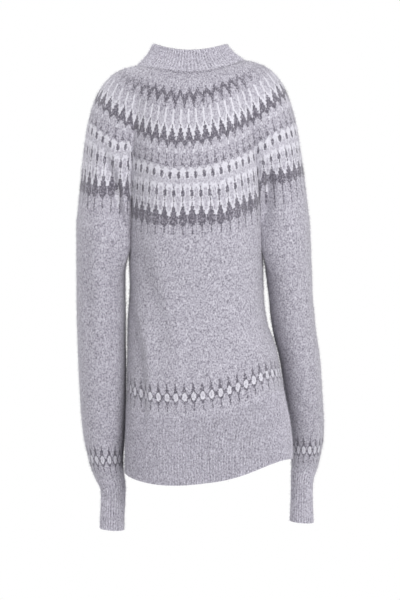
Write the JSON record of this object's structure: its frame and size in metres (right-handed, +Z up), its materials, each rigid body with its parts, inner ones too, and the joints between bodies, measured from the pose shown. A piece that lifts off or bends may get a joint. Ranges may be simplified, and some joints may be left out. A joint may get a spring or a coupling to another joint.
{
  "type": "fair isle sweater",
  "caption": "Long worn sweater with a round patterned yoke, ribbed stand-up collar, ribbed hem band and ribbed cuffs, hollow as on a wearer.",
  "frame": {"origin": "centre of the collar seam, at the base of the wearer's neck", "axes": "+Z up, -Y the way the wearer faces, +X towards the wearer's left arm"},
  "size_m": [0.4228, 0.2244, 0.8292],
  "materials": {
    "yoke": "brushed wool in a banded two-colour knit",
    "front": "brushed grey melange wool knit",
    "back": "brushed grey melange wool knit",
    "sleeve_left": "brushed grey melange wool knit",
    "sleeve_right": "brushed grey melange wool knit",
    "collar": "ribbed grey melange wool knit",
    "hem_rib_front": "ribbed grey melange wool knit",
    "hem_rib_back": "ribbed grey melange wool knit",
    "cuff_left": "ribbed grey melange wool knit",
    "cuff_right": "ribbed grey melange wool knit"
  },
  "bodies": {
    "root": {"yoke": "yoke", "front": "front", "back": "back", "sleeve_left": "sleeve_left", "sleeve_right": "sleeve_right", "collar": "collar", "hem_rib_front": "hem_rib_front", "hem_rib_back": "hem_rib_back", "cuff_left": "cuff_left", "cuff_right": "cuff_right"}
  },
  "joints": []
}
